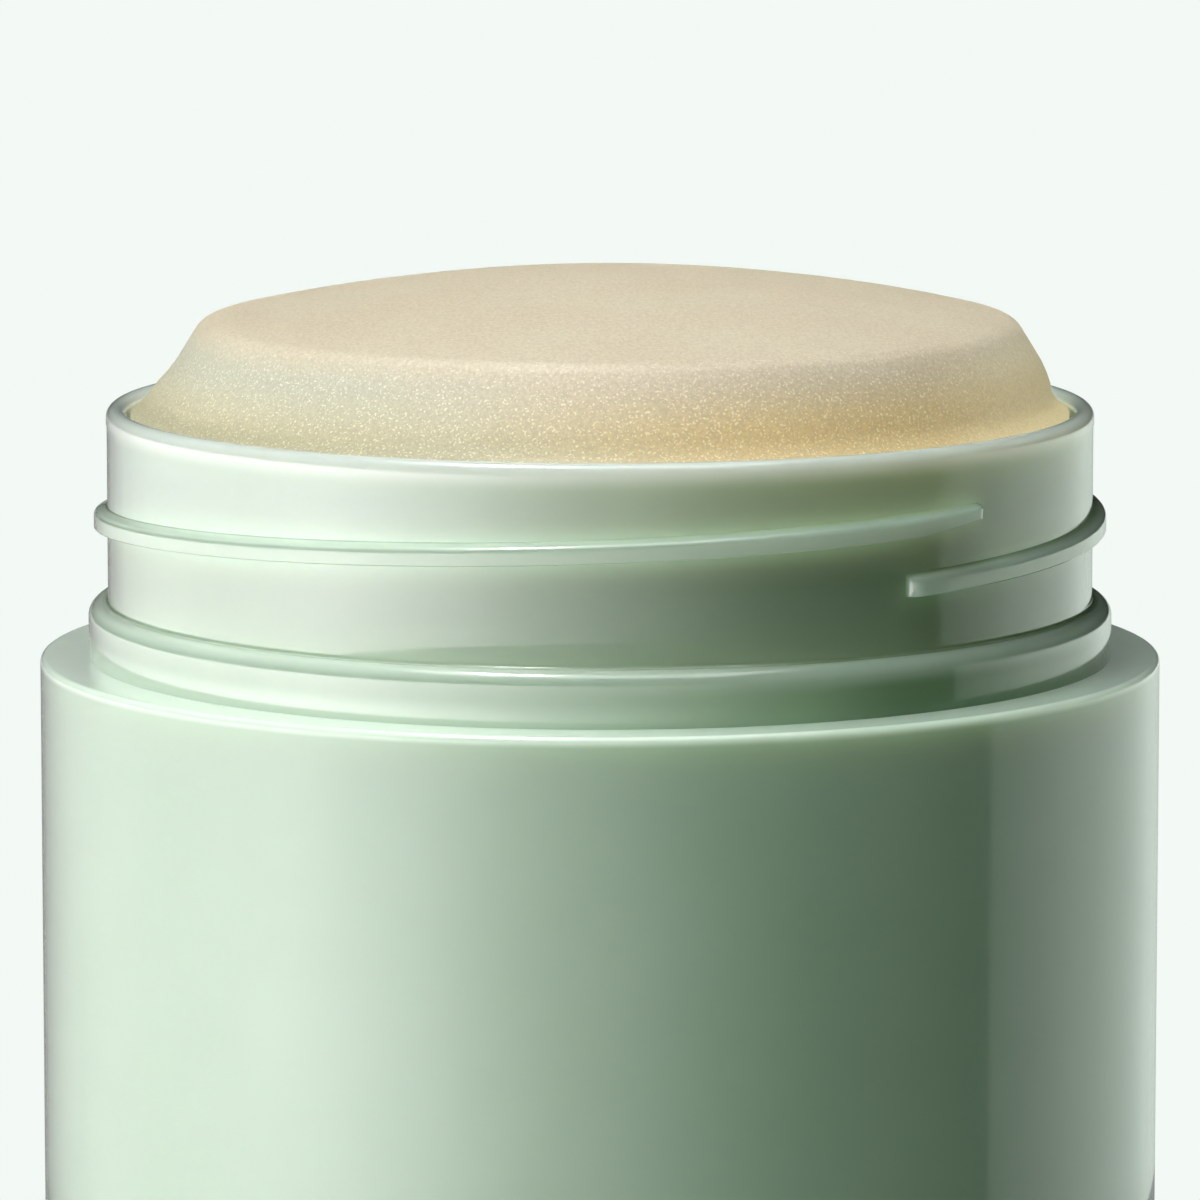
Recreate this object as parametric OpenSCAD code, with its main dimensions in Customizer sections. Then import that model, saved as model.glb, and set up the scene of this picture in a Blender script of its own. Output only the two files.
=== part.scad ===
// Round twist-up deodorant stick, shown without its cap.
// Millimetres. The origin is the centre of the foot, +Z points up, and the front is -Y.

/* [Sleeve] */
// Width of the ledge, from the neck out to the side of the sleeve and of the dial
ledge_w = 3.03; // [2.8:0.01:6]
// Height of the ledge above the table
ledge_z = 68; // [55:1:90]
// Wall of the sleeve
sleeve_wall = 1.6; // [1.2:0.1:1.8]
// Thickness of the ledge
ledge_t = 1.6; // [1.2:0.1:2.4]
// Rounding of the ledge's outer edge
ledge_edge_r = 0.25; // [0.1:0.05:0.6]
// Number of spacer ribs inside the sleeve
spacer_count = 8; // [4:1:12]
// Width of a spacer rib
spacer_w = 1.2; // [0.8:0.1:2]

/* [Neck] */
// Outside diameter of the neck and the barrel
neck_d = 43.94; // [36:0.02:54]
// Height of the rim above the ledge
neck_h = 11.15; // [10:0.05:14]
// Wall of the neck and the barrel
neck_wall = 0.87; // [0.7:0.01:1.2]
// How far the bead stands out of the neck
bead_out = 0.87; // [0.5:0.01:1.1]
// Height of the bead above the ledge
bead_h = 2.45; // [1.8:0.05:3]
// Rounding of the bead's shoulder
bead_round = 0.65; // [0.2:0.05:1]
// Fillet where the neck meets the bead
neck_fillet_r = 0.16; // [0.05:0.01:0.2]
// Height of the lip band above its parting line
lip_band_h = 0.75; // [0.6:0.05:1]
// How far the lip band stands out of the neck
lip_step = 0.03; // [0.02:0.01:0.1]

/* [Cap thread] */
// Rise of a rib in one full turn
cap_lead = 5.1; // [4:0.1:6]
// Number of starts
cap_starts = 2; // [1:1:3]
// Angle that one rib spans, in degrees
cap_arc = 193; // [150:1:220]
// Direction of the first rib's upper end, in degrees from the front towards +X
cap_end_az = 50; // [0:1:90]
// Distance from the rim down to the rib's underside at the front
cap_drop = 4.17; // [3.6:0.01:4.4]
// How far a rib stands out of the neck
cap_rib_out = 0.6; // [0.4:0.05:0.7]
// Width of a rib at its root
cap_rib_w = 1.02; // [0.8:0.02:1.3]
// Rounding of the rib's upper corner
cap_rib_round = 0.28; // [0.1:0.02:0.34]
// Height of a rib's upright face, as a share of its root
cap_face = 0.56; // [0.4:0.01:0.6]
// Angle over which the underside tapers at the upper end
cap_taper_arc = 10; // [4:1:20]
// Share of the rib's width that the taper takes off
cap_taper = 0.36; // [0.1:0.02:0.6]

/* [Guide ribs] */
// Number of guide ribs inside the barrel
guide_count = 4; // [2:1:6]
// Width of a guide rib
guide_w = 1.2; // [0.8:0.1:2]
// How far a guide rib stands in from the barrel's wall
guide_in = 0.9; // [0.6:0.05:1.2]
// Distance from the rim down to the top of the guide ribs
guide_drop = 6; // [4:0.5:10]

/* [Barrel floor] */
// Thickness of the floor
floor_t = 1.6; // [1.2:0.1:2.4]
// Number of openings in the floor
floor_windows = 6; // [3:1:8]
// Width of a spoke between two openings
floor_spoke_w = 3; // [2:0.5:5]
// Height of the foot flange that snaps into the sleeve
flange_h = 2.5; // [2:0.1:4]
// How far the snap bead stands out of the flange
snap_out = 0.25; // [0.1:0.05:0.35]

/* [Dial] */
// Height of the dial's outside
dial_h = 13; // [9:0.5:18]
// Wall of the dial
dial_wall = 1.8; // [1.4:0.1:2.4]
// Thickness of the dial's base plate
dial_plate_t = 1.8; // [1.4:0.1:2.4]
// Depth of the recess under the base plate
foot_recess = 1; // [0.5:0.1:1.5]
// Width of the foot ring
foot_ring_w = 2.5; // [2:0.1:4]
// Rounding of the dial's lower edge
foot_edge_r = 1; // [0.4:0.1:1.6]
// Height of the spigot that turns inside the sleeve
spigot_h = 2.6; // [1.5:0.1:4]
// Wall of the spigot
spigot_wall = 1.4; // [1:0.1:1.6]
// Diameter of the dial's hub
dial_hub_d = 13; // [11:0.5:16]
// Number of spokes in the dial
dial_spokes = 6; // [3:1:8]
// Thickness of a dial spoke
dial_spoke_t = 1.2; // [0.8:0.1:2]
// Height of a dial spoke above the plate
dial_spoke_h = 6; // [2:0.5:6.5]

/* [Lead screw] */
// Rise of the screw in one full turn
screw_lead = 5; // [4:0.5:6]
// Diameter of the screw's core
screw_core_d = 5.8; // [5:0.1:6.4]
// How far the screw's thread stands out of its core
screw_out = 1; // [0.6:0.05:1.2]
// Width of the screw's thread at its root
screw_root_w = 1.7; // [1.2:0.05:2]
// Width of the screw's thread at its crest
screw_crest_w = 0.9; // [0.5:0.05:1.1]
// Distance from the rim down to the top of the screw
screw_drop = 3.15; // [2:0.05:8]
// Diameter of the collar above the floor
collar_d = 12; // [10:0.5:15]
// Thickness of the collar
collar_t = 1.5; // [1:0.1:2.5]
// Diameter of the stem in the floor's bearing
stem_d = 7; // [6:0.1:8.5]
// How far the corners of the hexagonal foot stay inside the stem
hex_inset = 0.1; // [0.05:0.05:0.5]
// Length of the hexagonal foot
hex_l = 9; // [7:0.5:10]
// How far the foot's snap bead stands out of its corners
hex_snap_out = 0.2; // [0.1:0.05:0.3]

/* [Carrier] */
// Thickness of the carrier's plate
plate_t = 1.6; // [1.2:0.1:2.4]
// Height of the nut hub above the plate's underside
nut_h = 8; // [7:0.5:12]
// Diameter of the nut hub
nut_d = 13; // [12:0.5:16]
// Height of the carrier's rim above its plate
carrier_rim_h = 2; // [1:0.5:4]
// Number of gripping fins, with a fill window between each two
fin_count = 4; // [3:1:6]
// Thickness of a fin
fin_t = 1.2; // [0.8:0.1:2]
// Height of a fin above the plate
fin_h = 5; // [2:0.5:6]
// Distance from the carrier's rim in to the end of a fin
fin_inset = 2.95; // [1.5:0.05:6]
// Angle that one fill window spans, in degrees
window_arc = 52; // [20:1:54]
// Distance from the nut hub out to the inner edge of a fill window
window_land = 3; // [1.5:0.5:5]

/* [Wax] */
// Height of the wax above the rim
wax_h = 6.25; // [5:0.05:9]
// Rise of the domed top over its edge
dome_h = 2.45; // [1:0.05:3]
// Distance from the barrel's wall in to the edge of the domed top
dome_inset = 2.95; // [2.5:0.05:5]
// Rounding of the edge of the domed top
dome_round = 1.1; // [0.4:0.1:1.5]
// Distance from the barrel's wall in to where the flank starts to flare
flare_inset = 1.2; // [0.9:0.05:1.7]
// Height over the rim where the flank starts to flare
flare_z = 0.95; // [0.6:0.05:1.4]
// Distance from the rim down to the wax's edge
wax_edge_drop = 0.3; // [0.2:0.05:1]

/* [Fits] */
// Radial running clearance of the screw's stem and the dial's spigot
running_gap = 0.06; // [0.03:0.01:0.09]
// Clearance of the pieces that slide in the barrel
slide_gap = 0.2; // [0.15:0.05:0.3]
// Clearance round the guide ribs and the thread flanks
guide_gap = 0.25; // [0.2:0.05:0.35]
// Clearance of pieces that seat in each other and don't move
seat_gap = 0.05; // [0.02:0.01:0.08]
// Axial play of the floor between the collar and the dial's hub
axial_play = 0.1; // [0.05:0.05:0.2]
// Seam between the dial and the sleeve
seam = 0.4; // [0.3:0.05:0.8]
// Gap under the carrier in its lowest place
rest_gap = 0.3; // [0.2:0.05:0.5]

/* [Hidden] */
$fn = 96;

plastic_color = [0.76, 0.86, 0.77];
screw_color = [0.90, 0.91, 0.87];
wax_color = [0.86, 0.80, 0.66];

// A small length by which fused pieces overlap and cutters run past a face
lap = 0.3;

neck_r = neck_d / 2;
bore_r = neck_r - neck_wall;
rim_z = ledge_z + neck_h;
bead_r = neck_r + bead_out;
guide_r = bore_r - guide_in;
guide_top_z = rim_z - guide_drop;
// Direction of the first guide rib, midway between two fins
guide_az = 45;

body_r = neck_r + ledge_w;
sleeve_in_r = body_r - sleeve_wall;
sleeve_z = dial_h + seam;

spigot_r = sleeve_in_r - running_gap;
spigot_top_z = dial_h + spigot_h;
foot_z = spigot_top_z + rest_gap;
floor_top_z = foot_z + floor_t;
flange_r = sleeve_in_r - seat_gap;
flange_top_z = foot_z + flange_h;
snap_z = foot_z + flange_h / 2;
// Half the height of a snap bead
snap_half_h = 0.6;

stem_r = stem_d / 2;
hex_r = stem_r - hex_inset;
hub_top_z = foot_z - axial_play;
hex_top_z = hub_top_z - lap;
hex_z = hex_top_z - hex_l;
hex_snap_z = hex_z + hex_l / 4;
collar_z = floor_top_z + axial_play;
collar_top_z = collar_z + collar_t;

core_r = screw_core_d / 2;
crest_r = core_r + screw_out;
screw_top_z = rim_z - screw_drop;
screw_chamfer = 1;
thread_z = collar_top_z + screw_root_w;
thread_turns = (screw_top_z - screw_chamfer - screw_root_w / 2 - thread_z) / screw_lead;

carrier_z = collar_top_z + rest_gap;
plate_top_z = carrier_z + plate_t;
carrier_r = bore_r - slide_gap;
carrier_rim_in_r = guide_r - guide_gap;
fin_r = carrier_rim_in_r - fin_inset;
window_in_r = nut_d / 2 + window_land;
nut_bore_r = crest_r + guide_gap;
nut_root_w = screw_lead - screw_crest_w - 2 * guide_gap;
nut_tip_w = screw_lead - screw_root_w - 2 * guide_gap;
nut_mid_z = carrier_z + nut_root_w / 2 + lap;
nut_turns = (nut_h - nut_root_w - 2 * lap) / screw_lead;

wax_r = bore_r - slide_gap;
dome_edge_r = bore_r - dome_inset;
flare_r = bore_r - flare_inset;
wax_bore_r = crest_r + slide_gap + guide_gap;
wax_top_z = rim_z + wax_h;
wax_edge_z = rim_z - wax_edge_drop;

// Points of an arc in the plane, from angle a0 to angle a1
function arc(x, y, r, a0, a1, n = 8) =
    [for (i = [0:n]) let (a = a0 + (a1 - a0) * i / n) [x + r * cos(a), y + r * sin(a)]];

// A point of a coil: p is [distance from the axis, height], turned by a
function coil_point(p, a) = [p[0] * cos(a), p[0] * sin(a), p[1]];

// Points along a bent line from p0 to p2 that leaves towards p1
function bent(p0, p1, p2, n = 6) =
    [for (i = [0:n]) let (s = i / n) (1 - s) * (1 - s) * p0 + 2 * s * (1 - s) * p1 + s * s * p2];

// Closes a row of rings into a solid. The outline goes anticlockwise when it is seen
// with the axis on its left and the coil running away from the viewer.
module coil_solid(rings) {
    n = len(rings[0]);
    last = len(rings) - 1;
    sides = [
        for (i = [0:last - 1], j = [0:n - 1])
            let (k = (j + 1) % n, a = i * n, b = a + n)
            each [[a + j, a + k, b + k], [a + j, b + k, b + j]]
    ];
    ends = [[for (j = [n - 1:-1:0]) j], [for (j = [0:n - 1]) last * n + j]];
    polyhedron(points = [for (ring = rings) each ring], faces = concat(sides, ends));
}

// A sector of a ring round the axis, between two radii and two heights
module ring_sector(r0, r1, z0, z1, arc_deg) {
    rotate([0, 0, -arc_deg / 2])
        rotate_extrude(angle = arc_deg)
            translate([r0, z0])
                square([r1 - r0, z1 - z0]);
}

// A radial web of thickness t, between two radii and two heights
module web(r0, r1, z0, z1, t) {
    translate([r0, -t / 2, z0])
        cube([r1 - r0, t, z1 - z0]);
}

// Copies the children evenly round the axis
module around(count, start = 0) {
    for (i = [0:count - 1])
        rotate([0, 0, start + 360 * i / count])
            children();
}

// Sleeve: the outer shell with its ledge, and spacer ribs that hold the barrel straight
module outer_sleeve() {
    chamfer = 0.2;
    under_z = ledge_z - ledge_t;
    hole_r = neck_r + running_gap;
    outline = concat(
        [[body_r - chamfer, sleeve_z], [body_r, sleeve_z + chamfer]],
        arc(body_r - ledge_edge_r, ledge_z - ledge_edge_r, ledge_edge_r, 0, 90, 5),
        [[hole_r, ledge_z], [hole_r, under_z]],
        [[sleeve_in_r - chamfer, under_z], [sleeve_in_r, under_z - chamfer]],
        [[sleeve_in_r, snap_z + snap_half_h + seat_gap]],
        [[sleeve_in_r + snap_out, snap_z]],
        [[sleeve_in_r, snap_z - snap_half_h - seat_gap], [sleeve_in_r, sleeve_z]]
    );
    color(plastic_color)
        union() {
            rotate_extrude()
                polygon(outline);
            around(spacer_count)
                web(hole_r, sleeve_in_r + lap, flange_top_z - flange_h / 3, under_z + lap, spacer_w);
        }
}

// Outline of the barrel's tube, from the lip round the outside to the floor and back inside
function barrel_outline() =
    let (
        lip_r = (neck_wall + lip_step) / 2,
        parting_z = rim_z - lip_band_h,
        shoulder_z = ledge_z + bead_h,
        shoulder_r = min(bead_round, bead_out - neck_fillet_r - 0.05),
        lead_in = 0.3
    )
    concat(
        arc(bore_r + lip_r, rim_z - lip_r, lip_r, 180, 0, 12),
        [[neck_r + lip_step, parting_z], [neck_r, parting_z]],
        arc(neck_r + neck_fillet_r, shoulder_z + neck_fillet_r, neck_fillet_r, 180, 270, 4),
        arc(bead_r - shoulder_r, shoulder_z - shoulder_r, shoulder_r, 90, 0, 8),
        [[bead_r, ledge_z], [neck_r, ledge_z]],
        [[neck_r, flange_top_z], [flange_r - lead_in, flange_top_z]],
        [[flange_r, flange_top_z - lead_in], [flange_r, snap_z + snap_half_h]],
        [[flange_r + snap_out, snap_z], [flange_r, snap_z - snap_half_h]],
        [[flange_r, foot_z], [bore_r, foot_z]]
    );

// Outline of a cap rib at the share s of its way: a flat underside and a rounded top
function cap_rib_outline(s) =
    let (
        from_end = min(s, 1 - s) * cap_arc,
        nose_arc = cap_rib_out / neck_r * 180 / PI,
        nose = from_end >= nose_arc ? 1 : sqrt(1 - pow(1 - from_end / nose_arc, 2)),
        least_out = 0.04,
        out = max(least_out, cap_rib_out * nose),
        to_top = (1 - s) * cap_arc,
        lift = cap_rib_w * cap_taper * max(0, 1 - to_top / cap_taper_arc),
        root_w = cap_rib_w - lift,
        bevel = 0.05,
        draft = 0.03,
        corner = min(cap_rib_round, out * 0.6),
        corner_z = lift + root_w * cap_face,
        slope_deg = 66,
        buried_top = lift + root_w * (2 * cap_face)
    )
    concat(
        [[-lap, lift + draft], [out - bevel * nose, lift], [out, lift + bevel]],
        arc(out - corner, corner_z, corner, 0, slope_deg, 3),
        [[-lap, buried_top]]
    );

// One rib of the cap thread. It rises anticlockwise, so the thread is right-handed.
module cap_rib() {
    step = 4;
    tip_steps = [0, 0.25, 0.7, 1.3];
    tip_arc = 2.5;
    middle = [for (a = [tip_arc:step:cap_arc - tip_arc]) a];
    angles = concat(tip_steps, middle, [for (i = [len(tip_steps) - 1:-1:0]) cap_arc - tip_steps[i]]);
    end_z = rim_z - cap_drop + cap_lead * cap_end_az / 360;
    end_a = cap_end_az - 90;
    coil_solid([
        for (a = angles)
            let (back = cap_arc - a)
            [
                for (p = cap_rib_outline(a / cap_arc))
                    coil_point([neck_r + p[0], end_z + p[1] - cap_lead * back / 360], end_a - back)
            ]
    ]);
}

// Barrel: tube, floor, bead, neck with the cap thread, and the guide ribs inside
module inner_barrel() {
    land = 1.5;
    window_in = collar_d / 2 + land;
    window_out = bore_r - land;
    window_deg = 360 / floor_windows - 2 * asin(floor_spoke_w / 2 / window_in);
    color(plastic_color)
        difference() {
            union() {
                rotate_extrude()
                    polygon(barrel_outline());
                translate([0, 0, foot_z])
                    cylinder(r = bore_r + neck_wall / 2, h = floor_t);
                around(guide_count, guide_az)
                    web(guide_r, bore_r + neck_wall / 2, foot_z + floor_t / 2, guide_top_z, guide_w);
                around(cap_starts)
                    cap_rib();
            }
            translate([0, 0, foot_z - lap])
                cylinder(r = stem_r + running_gap, h = floor_t + 2 * lap);
            around(floor_windows, guide_az)
                ring_sector(window_in, window_out, foot_z - lap, floor_top_z + lap, window_deg);
            around(spacer_count)
                web(neck_r + running_gap, body_r, foot_z - lap, flange_top_z + lap,
                    spacer_w + 2 * seat_gap);
        }
}

// Dial: a cup with a foot ring, a hub with a hexagonal socket, spokes and a spigot
module base_dial() {
    chamfer = 0.3;
    plate_z = foot_recess + dial_plate_t;
    cup_r = body_r - dial_wall;
    spigot_in_r = spigot_r - spigot_wall;
    shoulder_z = dial_h - chamfer - (cup_r - spigot_in_r);
    cup = concat(
        [[0, foot_recess], [body_r - foot_ring_w, foot_recess], [body_r - foot_ring_w, 0]],
        arc(body_r - foot_edge_r, foot_edge_r, foot_edge_r, -90, 0, 8),
        [[body_r, dial_h - chamfer], [body_r - chamfer, dial_h], [spigot_r, dial_h]],
        [[spigot_r, spigot_top_z - chamfer], [spigot_r - chamfer, spigot_top_z]],
        [[spigot_in_r, spigot_top_z], [spigot_in_r, dial_h - chamfer], [cup_r, shoulder_z]],
        [[cup_r, plate_z], [0, plate_z]]
    );
    socket_r = hex_r + seat_gap;
    snap_r = hex_r + hex_snap_out + seat_gap;
    color(plastic_color)
        difference() {
            union() {
                rotate_extrude()
                    polygon(cup);
                translate([0, 0, plate_z - lap])
                    cylinder(d = dial_hub_d, h = hub_top_z - plate_z + lap);
                around(dial_spokes)
                    web(dial_hub_d / 2 - lap, cup_r + lap, plate_z - lap, plate_z + dial_spoke_h,
                        dial_spoke_t);
            }
            translate([0, 0, hex_z - seat_gap])
                cylinder(r = socket_r, h = hub_top_z, $fn = 6);
            translate([0, 0, hex_top_z])
                cylinder(r = stem_r + seat_gap, h = hub_top_z);
            translate([0, 0, hex_snap_z - snap_half_h - seat_gap])
                cylinder(r = snap_r, h = 2 * (snap_half_h + seat_gap));
        }
}

// Outline of a thread between a buried root at radius r0 and a crest at radius r1. Its flanks
// run straight through the surface that it stands on, so no point lies on that surface.
function thread_outline(r0, w0, r1, w1) =
    r0 < r1
    ? [[r0, -w0 / 2], [r1, -w1 / 2], [r1, w1 / 2], [r0, w0 / 2]]
    : [[r1, -w1 / 2], [r0, -w0 / 2], [r0, w0 / 2], [r1, w1 / 2]];

// Width of a thread's flanks at the depth d under its root
function buried_w(root_w, tip_w, h, d) = root_w + (root_w - tip_w) * d / h;

// A left-handed coil of an outline: it rises clockwise, from height z0
module left_coil(outline, z0, turns, start = 0) {
    step = 15;
    count = round(turns * 360 / step);
    coil_solid([
        for (i = [count:-1:0])
            [for (p = outline) coil_point([p[0], p[1] + z0 + screw_lead * i * step / 360],
                start - i * step)]
    ]);
}

// Lead screw: thread, collar over the floor, stem in the bearing and hexagonal foot
module lead_screw() {
    color(screw_color)
        union() {
            translate([0, 0, collar_top_z - lap])
                cylinder(r = core_r, h = screw_top_z - screw_chamfer - collar_top_z + lap);
            translate([0, 0, screw_top_z - screw_chamfer])
                cylinder(r1 = core_r, r2 = core_r - screw_chamfer, h = screw_chamfer);
            left_coil(
                thread_outline(core_r - lap, buried_w(screw_root_w, screw_crest_w, screw_out, lap),
                    crest_r, screw_crest_w),
                thread_z, thread_turns);
            translate([0, 0, collar_z])
                cylinder(d = collar_d, h = collar_t);
            translate([0, 0, hex_top_z + seat_gap])
                cylinder(r = stem_r, h = collar_z + lap - hex_top_z - seat_gap);
            translate([0, 0, hex_z])
                cylinder(r = hex_r, h = hex_l + lap, $fn = 6);
            translate([0, 0, hex_snap_z - snap_half_h])
                cylinder(r1 = hex_r - lap, r2 = hex_r + hex_snap_out, h = snap_half_h);
            translate([0, 0, hex_snap_z])
                cylinder(r1 = hex_r + hex_snap_out, r2 = hex_r - lap, h = snap_half_h);
        }
}

// The fill windows in the carrier's plate. The wax fills them, so both pieces use them.
module fill_windows(z0, z1) {
    around(fin_count, 180 / fin_count)
        ring_sector(window_in_r, fin_r, z0, z1, window_arc);
}

// The hub and the fins that stand up into the wax
module hub_and_fins() {
    translate([0, 0, carrier_z])
        cylinder(d = nut_d, h = nut_h);
    around(fin_count)
        web(nut_d / 2 - lap, fin_r, plate_top_z - lap, plate_top_z + fin_h, fin_t);
}

// Carrier: plate with notches and fill windows, low rim, nut hub and gripping fins
module carrier() {
    rim_top_z = plate_top_z + carrier_rim_h;
    nut_tip_r = core_r + guide_gap;
    nut_buried_w = buried_w(nut_root_w, nut_tip_w, nut_bore_r - nut_tip_r, lap);
    // The nut's thread runs midway between two turns of the screw's thread
    phase = 360 * (nut_mid_z - thread_z - screw_lead / 2) / screw_lead;
    color(screw_color)
        union() {
            difference() {
                union() {
                    translate([0, 0, carrier_z])
                        cylinder(r = carrier_r, h = rim_top_z - carrier_z);
                    hub_and_fins();
                }
                difference() {
                    translate([0, 0, plate_top_z])
                        cylinder(r = carrier_rim_in_r, h = carrier_rim_h + lap);
                    hub_and_fins();
                }
                translate([0, 0, carrier_z - lap])
                    cylinder(r = nut_bore_r, h = nut_h + 2 * lap);
                around(guide_count, guide_az)
                    web(carrier_rim_in_r, bore_r, carrier_z - lap, rim_top_z + lap,
                        guide_w + 2 * guide_gap);
                fill_windows(carrier_z - lap, plate_top_z + lap);
            }
            left_coil(thread_outline(nut_bore_r + lap, nut_buried_w, nut_tip_r, nut_tip_w),
                nut_mid_z, nut_turns, -phase);
        }
}

// Outline of the wax: a shallow dome, a rounded edge, a sloping flank and a flare to the wall
function wax_outline() =
    let (
        edge_z = wax_top_z - dome_h,
        dome_r = (pow(dome_edge_r, 2) + pow(dome_h, 2)) / (2 * dome_h),
        edge_slope = asin(dome_edge_r / dome_r),
        flank_z = rim_z + flare_z,
        flank_slope = atan2(flare_r - dome_edge_r, edge_z - flank_z),
        round_deg = 90 - flank_slope - edge_slope,
        set_back = dome_round * tan(round_deg / 2),
        dome_deg = edge_slope - set_back / dome_r * 180 / PI,
        start_x = dome_r * sin(dome_deg),
        start_z = wax_top_z - dome_r * (1 - cos(dome_deg)),
        round_x = start_x - dome_round * sin(dome_deg),
        round_z = start_z - dome_round * cos(dome_deg),
        rim_top_z = plate_top_z + carrier_rim_h,
        flare = [flare_r, flank_z],
        edge = [wax_r, wax_edge_z],
        bend = [flare_r + 0.31 * (wax_r - flare_r), flank_z + 0.66 * (wax_edge_z - flank_z)]
    )
    concat(
        [[0, plate_top_z], [0, wax_top_z]],
        [for (i = [1:10]) [dome_r * sin(dome_deg * i / 10),
            wax_top_z - dome_r * (1 - cos(dome_deg * i / 10))]],
        arc(round_x, round_z, dome_round, 90 - dome_deg, flank_slope, 6),
        bent(flare, bend, edge),
        [[wax_r, rim_top_z], [carrier_rim_in_r, rim_top_z], [carrier_rim_in_r, plate_top_z]]
    );

// Wax: cast round the screw, the guide ribs and the carrier's hub and fins
module wax_stick() {
    tip = 1;
    color(wax_color)
        union() {
            difference() {
                rotate_extrude()
                    polygon(wax_outline());
                translate([0, 0, plate_top_z - lap])
                    cylinder(r = wax_bore_r, h = screw_top_z - plate_top_z + lap);
                translate([0, 0, screw_top_z])
                    cylinder(r1 = wax_bore_r, r2 = wax_bore_r - tip, h = tip);
                hub_and_fins();
                around(guide_count, guide_az)
                    web(carrier_rim_in_r, bore_r, plate_top_z, guide_top_z + guide_gap,
                        guide_w + 2 * guide_gap);
            }
            fill_windows(carrier_z, plate_top_z + lap);
        }
}

outer_sleeve();
inner_barrel();
base_dial();
lead_screw();
carrier();
wax_stick();
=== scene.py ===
import math

import bpy
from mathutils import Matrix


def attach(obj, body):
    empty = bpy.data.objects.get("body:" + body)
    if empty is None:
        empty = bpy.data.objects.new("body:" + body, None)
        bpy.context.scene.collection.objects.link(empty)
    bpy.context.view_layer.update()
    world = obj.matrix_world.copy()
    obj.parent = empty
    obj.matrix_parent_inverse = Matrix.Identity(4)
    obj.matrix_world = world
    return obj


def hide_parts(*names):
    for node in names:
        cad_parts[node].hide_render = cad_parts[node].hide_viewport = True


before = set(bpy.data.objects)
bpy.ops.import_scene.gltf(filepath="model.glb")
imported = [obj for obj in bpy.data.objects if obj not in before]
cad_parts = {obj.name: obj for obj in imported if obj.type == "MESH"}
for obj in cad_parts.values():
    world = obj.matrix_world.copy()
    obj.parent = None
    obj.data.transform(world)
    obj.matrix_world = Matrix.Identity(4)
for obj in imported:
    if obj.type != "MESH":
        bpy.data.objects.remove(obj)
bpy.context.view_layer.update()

scene = bpy.context.scene
scene.view_settings.view_transform = "Standard"
mm = 0.001
print("frame loaded:", ", ".join(sorted(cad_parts)))


# node trees written as Python expressions

class Wire:
    # an output socket that arithmetic can be done on
    def __init__(self, bench, socket):
        self.bench = bench
        self.socket = socket

    def calc(self, operation, *terms):
        return self.bench.add("ShaderNodeMath", {"operation": operation}, dict(enumerate(terms)))

    def __add__(self, other):
        return self.calc("ADD", self, other)

    def __radd__(self, other):
        return self.calc("ADD", other, self)

    def __sub__(self, other):
        return self.calc("SUBTRACT", self, other)

    def __rsub__(self, other):
        return self.calc("SUBTRACT", other, self)

    def __mul__(self, other):
        return self.calc("MULTIPLY", self, other)

    def __truediv__(self, other):
        return self.calc("DIVIDE", self, other)

    def __rtruediv__(self, other):
        return self.calc("DIVIDE", other, self)

    def __pow__(self, other):
        return self.calc("POWER", self, other)

    def __mod__(self, other):
        return self.calc("MODULO", self, other)

    def floor(self):
        return self.calc("FLOOR", self)

    def least(self, other):
        return self.calc("MINIMUM", self, other)

    def most(self, other):
        return self.calc("MAXIMUM", self, other)

    def sin(self):
        return self.calc("SINE", self)

    def cos(self):
        return self.calc("COSINE", self)

    def root(self):
        return self.calc("SQRT", self)

    def out(self, name):
        return Wire(self.bench, self.socket.node.outputs[name])


class Bench:
    # a node tree, and the one way in which nodes are put into it
    def __init__(self, tree):
        self.tree = tree

    def add(self, kind, settings=None, sockets=None, pick=0):
        node = self.tree.nodes.new(kind)
        for name, value in (settings or {}).items():
            if name == "stops":
                self.setStops(node.color_ramp, value)
            else:
                setattr(node, name, value)
        for name, value in (sockets or {}).items():
            self.feed(node.inputs[name], value)
        return Wire(self, node.outputs[pick]) if node.outputs else node

    def feed(self, socket, value):
        for one in value if isinstance(value, list) else [value]:
            if isinstance(one, Wire):
                self.tree.links.new(one.socket, socket)
            else:
                socket.default_value = one

    def setStops(self, ramp, stops):
        while len(ramp.elements) < len(stops):
            ramp.elements.new(0.5)
        for element, (place, colour) in zip(ramp.elements, stops):
            element.position = place
            element.color = colour

    def ease(self, value, low, high):
        # 0 at low, 1 at high, smooth between
        return self.add("ShaderNodeMapRange", {"interpolation_type": "SMOOTHSTEP"}, {
            "Value": value, "From Min": low, "From Max": high})

    def vector(self, x, y, z):
        return self.add("ShaderNodeCombineXYZ", None, {"X": x, "Y": y, "Z": z})

    def parts(self, vector):
        x = self.add("ShaderNodeSeparateXYZ", None, {0: vector})
        return x, x.out("Y"), x.out("Z")


def linearLight(r, g, b):
    # screen values from 0 to 255 as linear light
    def one(v):
        return v / 255 / 12.92 if v <= 10.3 else ((v / 255 + 0.055) / 1.055) ** 2.4
    return one(r), one(g), one(b), 1.0


# finishes

noLight = (0, 0, 0, 1)


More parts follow.
